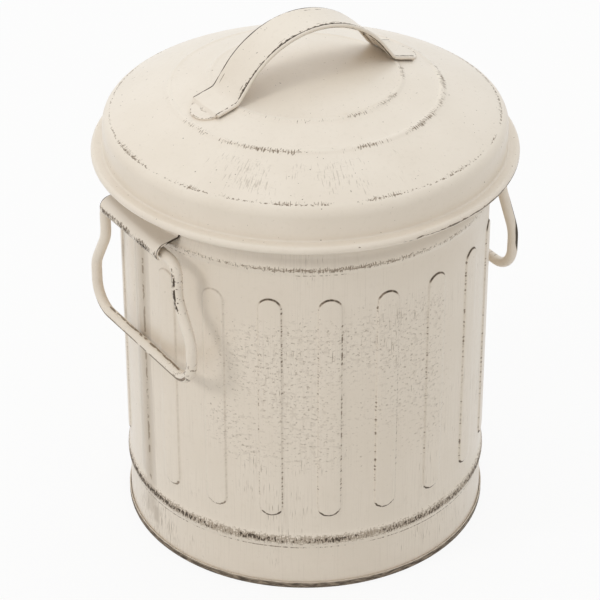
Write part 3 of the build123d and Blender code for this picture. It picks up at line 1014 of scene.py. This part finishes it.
def strap_strip():
    """The hemmed strip on the flat, with its tongues, then bowed. X is along it and Z out of its face."""
    bm = bmesh.new()
    foot = sum(strap_bow()[1:])
    spare = (hem_end - heel_out) / cos(strap_tilt) - heel_bend * tan((strap_leg - strap_tilt) / 2)
    hems = foot + spare
    fold = arc((strap_flat, -strap_fold), strap_fold, 90, -90, 6)
    half = [(0, -hem_pressed), (hem_inner * 0.8, -hem_pressed), (hem_inner, 0)] + fold
    half += [(hem_inner, -strap_stack)]
    section = [(-y, z) for y, z in half[:0:-1]] + half
    verts = [bm.verts.new((-hems, y, z)) for y, z in section]
    row = [bm.edges.new(pair) for pair in zip(verts, verts[1:])]
    for step in range(1, strap_stations + 1):
        row = drawn(bm, row, lambda co: Vector((hems * (2 * step / strap_stations - 1), co.y, co.z)))

    def on_top(co, end):
        return abs(co.x - end) < hair and co.z > -strap_fold / 2 and abs(co.y) < strap_flat + hair

    round_middle = hems + (tongue_tip - hem_end) / cos(strap_tilt) - strap_flat
    start = asin((hems - round_middle) / strap_flat)
    for side in (-1, 1):
        row = [edge for edge in bm.edges if all(on_top(vert.co, side * hems) for vert in edge.verts)]
        half = strap_flat
        for step in range(1, tongue_steps + 1):
            turn = start + (pi / 2 - start) * step / tongue_steps
            reach = side * (round_middle + strap_flat * sin(turn))
            taper = strap_flat * cos(turn) / half
            row = drawn(bm, row, lambda co: Vector((reach, co.y * taper, -strap_fold)))
            half *= taper
    bmesh.ops.remove_doubles(bm, verts=bm.verts, dist=hair)
    along = bm.verts.layers.float.new("along")
    girth = bm.verts.layers.float.new("girth")
    rim = bm.verts.layers.float.new("tongue_rim")
    for vert in bm.verts:
        x, y, z = vert.co
        vert[along] = x / mm
        vert[girth] = strap_girth(y, z) / mm
        past = Vector((max(abs(x) - round_middle, 0), y))
        vert[rim] = (strap_flat - past.length) / mm if abs(x) > hems + hair else 9.0
    face_out(bm, lambda co: Vector((0, co.y, co.z + strap_fold)))
    for vert in bm.verts:
        tongue = abs(vert.co.x) > hems + hair
        vert.co = bend_strap(vert.co)
        if tongue:
            middle = Vector((0, 0, dome_centre))
            vert.co = middle + (vert.co - middle).normalized() * (dome_radius + strap_sheet)
    return bm


def strap_wear(place):
    """Wear on the strap: dark lines on both edges of its folds, a broken outline round its tongues."""
    tree = place.tree
    along = attribute(tree, "along")
    girth = attribute(tree, "girth")
    rim = attribute(tree, "tongue_rim")
    edge = strap_flat / mm
    patch = noise(vector_of(along * 0.06, girth * 0.02, 9.0), 1.0, 2.0)
    far = girth.near(edge + 0.2, 0.8, 0.25) * (patch.fade(0.3, 0.5) * 0.3 + 0.7)
    wear = bristles(along, girth, 6.0, 1.0, 91.0, far * 0.9) * 0.9
    fold = girth.near(0.2 - edge, 0.6, 0.1) * (patch.fade(0.3, 0.55) * 0.5 + 0.5)
    wear = wear.over(bristles(along, girth, 1.6, 0.8, 93.0, fold * 1.05) * 0.9)
    blots = girth.near(0.6 - edge, 1.5, 0.3) * patch.fade(0.35, 0.6)
    wear = wear.over(bristles(along, girth, 1.8, 1.1, 98.0, blots * 0.7) * 0.95)
    fold = girth.near(-2.4 - edge, 0.7, 0.1) * (patch.fade(0.3, 0.5) * 0.4 + 0.6)
    wear = wear.over(bristles(along, girth, 4.0, 0.8, 94.0, fold) * 0.9)
    inner = abs(girth).near(hem_inner / mm - 0.3, 0.5, 0.1) * patch.fade(0.45, 0.6)
    wear = wear.over(bristles(along, girth, 3.0, 1.0, 95.0, inner * 0.7) * 0.6)
    wear = wear.over(bristles(along, girth, 1.5, 1.5, 96.0, rim.near(0.3, 0.7, 0.1) * 0.6) * 0.45)
    wear = wear.over(noise(place, 0.6, 2.0).fade(0.73, 0.77) * 0.8)
    return wear.over(bristles(along, girth, 3.0, 0.4, 97.0, patch.fade(0.4, 0.7) * 0.36) * 0.3)


def strap_under(place):
    """The strap's underside and cut edges: thin paint with a few dark spots."""
    return noise(place, 0.4, 3.0).fade(0.6, 0.72) * 0.8


strap_coats = painted("strap_face", strap_wear), painted("strap_back", strap_under)
strap = piece("lid_strap", strap_strip(), "lid", "painted_strap", "lid_strap_handle", *strap_coats)
thicken(strap, strap_sheet)
soften(strap, strap_edge)

# Strap rivets: one soft rivet through each tongue of the strap and the lid, its low head on top,
# painted over with the rest.
strap_rivet_head = 3.25 * mm
strap_rivet_rise = 0.9 * mm
strap_rivet_shank = 1.6 * mm
strap_rivet_sink = 0.03 * mm

bm = rivet(strap_rivet_head, strap_rivet_rise, strap_rivet_shank, strap_sheet + sheet)
lean = Matrix.Rotation(strap_tilt, 4, "Y")
seat = Matrix.Translation((0, 0, dome_radius + strap_sheet - strap_rivet_sink))
bmesh.ops.transform(bm, matrix=Matrix.Translation((0, 0, dome_centre)) @ lean @ seat, verts=bm.verts)
repeat_round(bm, pi, 1)
bmesh.ops.recalc_face_normals(bm, faces=bm.faces)
piece("strap_rivet_pair", bm, "lid", "painted_rivet", "lid_handle_rivets", rivet_coat)

# Floor, light and camera: white studio paper under a large soft lamp overhead, with a small lamp on
# the left that casts the handles' shadows and a weak one low in front. The camera stands where the
# photograph was taken.
floor_half = 15.0
paper_colour = (0.74, 0.725, 0.7, 1)
paper_white = 0.9        # share of plain white in what is seen of the paper
white = (1, 1, 1, 1)
ambient = 0.6
lamp_aim = 0.12


def backdrop_seen(tree):
    """1 for what the camera, a reflection or glass sees of the backdrop, 0 for its light."""
    path = tree.nodes.new("ShaderNodeLightPath")
    rays = [Field(path.outputs[f"Is {kind} Ray"]) for kind in ("Camera", "Glossy", "Transmission")]
    return rays[0].over(rays[1]).over(rays[2])


paper, tree = new_material("studio_paper")
matt = tree.nodes.new("ShaderNodeBsdfDiffuse")
glow = tree.nodes.new("ShaderNodeEmission")
both = tree.nodes.new("ShaderNodeMixShader")
feed(matt, {"Color": paper_colour})
feed(glow, {"Color": white, "Strength": 1.0})
feed(both, {0: backdrop_seen(tree) * paper_white})
tree.links.new(matt.outputs[0], both.inputs[1])
tree.links.new(glow.outputs[0], both.inputs[2])
to_output(both)

ground = bmesh.new()
bmesh.ops.create_grid(ground, x_segments=1, y_segments=1, size=floor_half)
floor = shown("floor", ground, paper)

world = bpy.data.worlds.new("studio")
bpy.context.scene.world = world
world.use_nodes = True
tree = world.node_tree
tree.nodes.clear()
sky = tree.nodes.new("ShaderNodeBackground")
feed(sky, {"Color": white, "Strength": backdrop_seen(tree) * (1 - ambient) + ambient})
to_output(sky, "ShaderNodeOutputWorld")


def soft_lamp(name, place, size, power, tint):
    """Square soft box at a place, turned to the middle of the bin."""
    lamp = bpy.data.lights.new(name, "AREA")
    lamp.size = size
    lamp.energy = power
    lamp.color = tint
    made = bpy.data.objects.new(name, lamp)
    made.location = place
    made.rotation_euler = (Vector((0, 0, lamp_aim)) - Vector(place)).to_track_quat("-Z", "Y").to_euler()
    made.visible_glossy = False
    bpy.context.scene.collection.objects.link(made)


soft_lamp("overhead", (0.45, 0.5, 1.75), size=3.2, power=25.0, tint=(0.88, 0.95, 1.0))
soft_lamp("fill", (-0.2, -1.4, 0.3), size=1.6, power=3.0, tint=(1.0, 0.98, 0.94))
soft_lamp("key", (-1.3, 0.1, 0.95), size=0.32, power=4.9, tint=(1.0, 1.0, 1.0))

camera_data = bpy.data.cameras.new("camera")
camera = bpy.data.objects.new("camera", camera_data)
bpy.context.scene.collection.objects.link(camera)
bpy.context.scene.camera = camera
camera_reach = 1.01365
camera_turn = radians(237)
camera_height = 0.73245
view_height = 0.1015
camera_data.sensor_width = 36
camera_data.lens = 156.04
camera_data.shift_x = -0.0088
camera.location = (camera_reach * cos(camera_turn), camera_reach * sin(camera_turn), camera_height)
sight = Vector((0, 0, view_height)) - camera.location
camera.rotation_euler = sight.to_track_quat("-Z", "Y").to_euler()
bpy.context.scene.view_settings.view_transform = "Standard"
